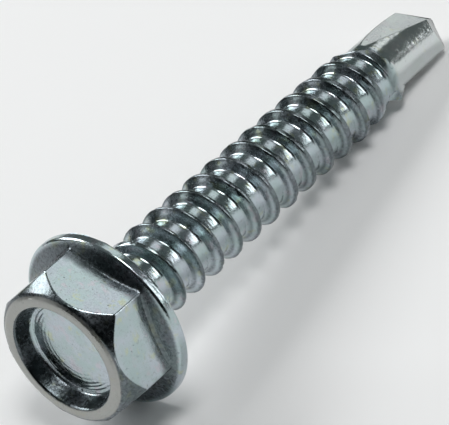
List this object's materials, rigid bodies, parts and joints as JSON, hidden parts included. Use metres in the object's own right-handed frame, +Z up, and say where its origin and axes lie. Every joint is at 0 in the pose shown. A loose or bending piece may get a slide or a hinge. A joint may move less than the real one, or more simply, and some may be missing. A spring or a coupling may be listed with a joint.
{
  "type": "self drilling screw",
  "caption": "Hex washer head self drilling screw: flanged hexagonal head with a shallow indent, full thread and a fluted drill point.",
  "frame": {"origin": "on the floor, under the middle of the screw as it lies on its side", "axes": "+X along the screw from head to drill point, seen from above; +Z up"},
  "size_m": [0.0286, 0.0088, 0.0087],
  "materials": {
    "zinc": "bright blue-white zinc plating over rolled and forged steel"
  },
  "bodies": {
    "root": {"screw": "zinc"}
  },
  "joints": []
}
